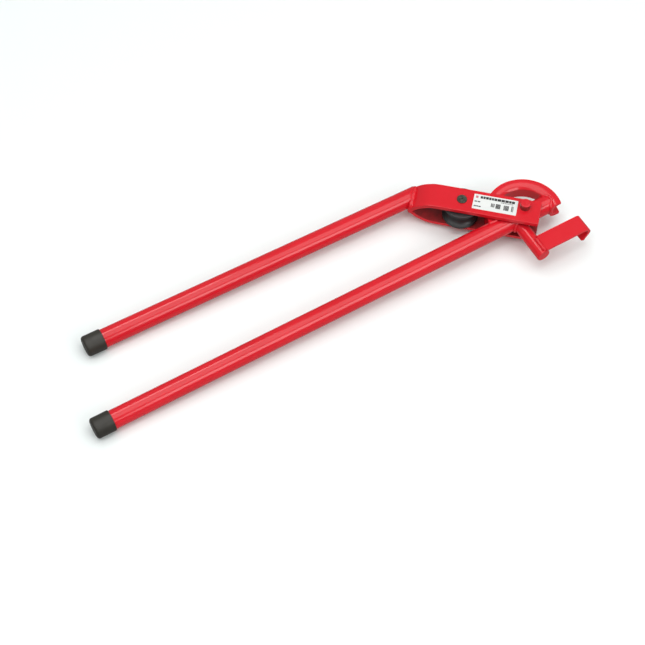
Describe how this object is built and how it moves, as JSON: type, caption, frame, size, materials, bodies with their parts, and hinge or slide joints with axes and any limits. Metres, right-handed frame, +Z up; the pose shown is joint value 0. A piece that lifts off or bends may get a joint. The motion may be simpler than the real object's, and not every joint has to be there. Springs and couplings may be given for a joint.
{
  "type": "two-handled tube bender",
  "caption": "Scissor-action hand bender for 15 mm tube: two long tube handles, a half-ring grooved former, a fork with a grooved roller on a pivot bolt, and a strap hook.",
  "frame": {"origin": "on the pivot axis, at the lower end face of the pivot bolt, which is the tool's lowest point", "axes": "+X along the fixed handle from its grip towards the head, +Y towards the moving handle, +Z up along the pivot axis"},
  "size_m": [0.6102, 0.1678, 0.0546],
  "materials": {
    "red_paint": "gloss",
    "black_plastic": "satin",
    "black_roller": "satin black",
    "bronze": "machined",
    "dark_steel": "oil-blackened",
    "plated_steel": "zinc plated",
    "white_label": "printed film"
  },
  "bodies": {
    "fixed_handle": {"fixed_handle_tube": "red_paint", "fixed_handle_cap": "black_plastic", "former_channel": "red_paint", "pivot_bush": "bronze", "hook_arm": "red_paint", "hook_strap": "red_paint"},
    "moving_handle": {"moving_handle_tube": "red_paint", "moving_handle_cap": "black_plastic", "cheek_upper": "red_paint", "cheek_lower": "red_paint", "fork_weld": "red_paint", "pivot_bolt": "red_paint", "pivot_nut": "plated_steel", "pivot_washer": "plated_steel", "thrust_washer_upper": "plated_steel", "thrust_washer_lower": "plated_steel", "roller_pin": "dark_steel", "roller_pin_clip": "dark_steel", "roller_washer_upper": "plated_steel", "roller_washer_lower": "plated_steel", "rating_label": "white_label"},
    "roller": {"roller": "black_roller", "roller_bush": "bronze"}
  },
  "joints": [
    {"name": "pivot", "type": "hinge", "parent": "fixed_handle", "child": "moving_handle", "pos_m": [0, 0, 0.0283], "axis": [0, 0, 1], "range_deg": [-135, 7]},
    {"name": "roller_spin", "type": "hinge", "parent": "moving_handle", "child": "roller", "pos_m": [-0.05742, 0.04583, 0.0283], "axis": [0, 0, 1], "continuous": true}
  ]
}
